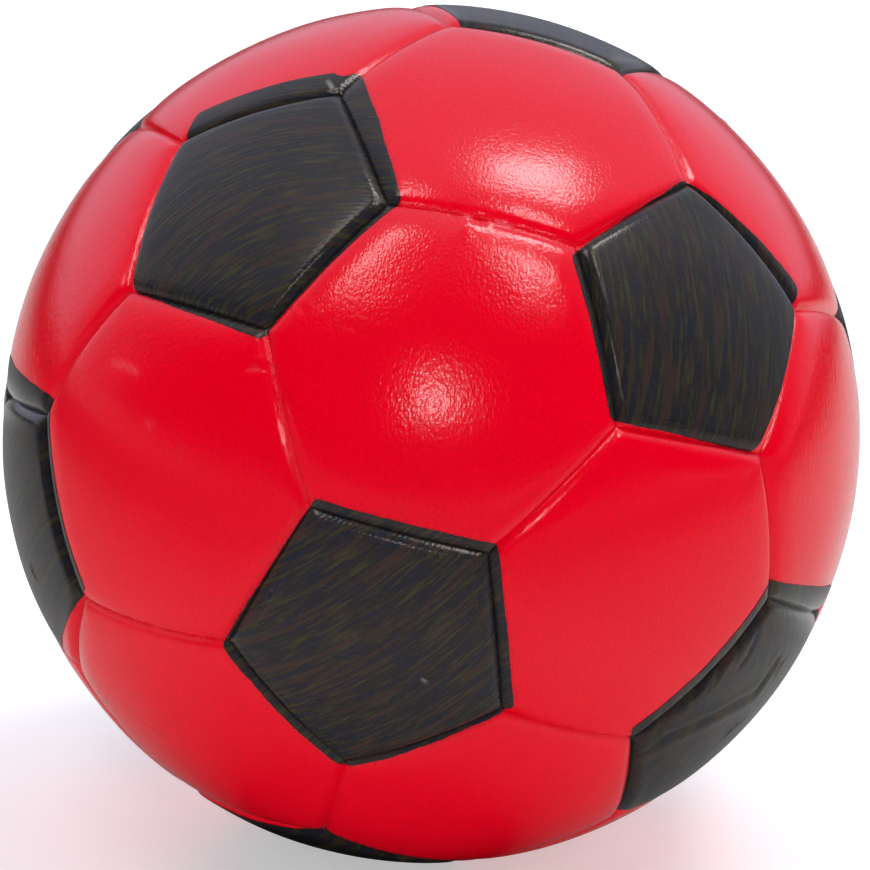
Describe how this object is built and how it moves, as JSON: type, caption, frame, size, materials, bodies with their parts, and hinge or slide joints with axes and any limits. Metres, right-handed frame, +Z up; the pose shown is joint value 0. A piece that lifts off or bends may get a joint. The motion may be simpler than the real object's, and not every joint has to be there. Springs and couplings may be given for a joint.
{
  "type": "foam ball",
  "caption": "Small soft foam ball, moulded with grooves as a pattern of pentagons and hexagons, red with black sprayed pentagons.",
  "frame": {"origin": "middle of the ball", "axes": "+Z up through a corner where three panels meet, so the ball stands on the three panels round the opposite corner; +X to the right and +Y away from someone who sees the ball as the picture shows it"},
  "size_m": [0.0631, 0.0632, 0.0632],
  "materials": {
    "foam": "matt open-celled soft polyurethane foam, coloured right through",
    "skin": "satin to glossy dense polyurethane skin with a red in-mould coat",
    "paint": "satin black flexible paint, sprayed through a mask"
  },
  "bodies": {
    "root": {"foam_core": "foam", "red_skin": "skin", "black_pentagon_01": "paint", "black_pentagon_02": "paint", "black_pentagon_03": "paint", "black_pentagon_04": "paint", "black_pentagon_05": "paint", "black_pentagon_06": "paint", "black_pentagon_07": "paint", "black_pentagon_08": "paint", "black_pentagon_09": "paint", "black_pentagon_10": "paint", "black_pentagon_11": "paint", "black_pentagon_12": "paint"}
  },
  "joints": []
}
